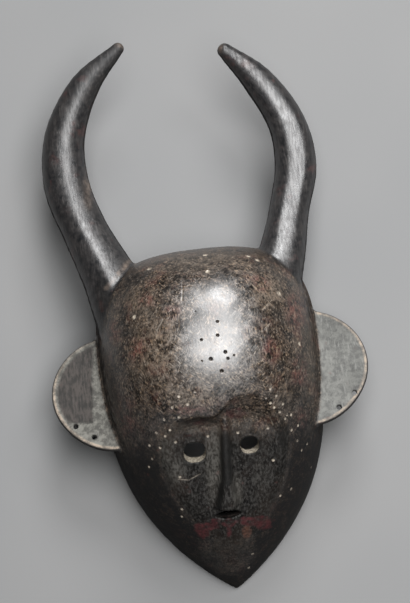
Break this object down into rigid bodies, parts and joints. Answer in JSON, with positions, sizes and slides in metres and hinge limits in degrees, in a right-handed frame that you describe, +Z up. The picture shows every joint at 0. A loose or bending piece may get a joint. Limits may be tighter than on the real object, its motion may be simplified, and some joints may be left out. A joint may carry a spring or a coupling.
{
  "type": "horned wooden face mask",
  "caption": "Carved wooden face mask with a domed hollow head, a scooped face, round pierced ears and two long curved horns; it lies on its open back.",
  "frame": {"origin": "under the middle of the bounding box, on the surface that the open back lies on", "axes": "+Z up out of the face, +Y from the chin to the horns, +X to the right as seen from the front"},
  "size_m": [0.3134, 0.5534, 0.169],
  "materials": {
    "patinated_wood": "old dark patina, polished by handling, worn to brown and grey in places"
  },
  "bodies": {
    "root": {"mask": "patinated_wood"}
  },
  "joints": []
}
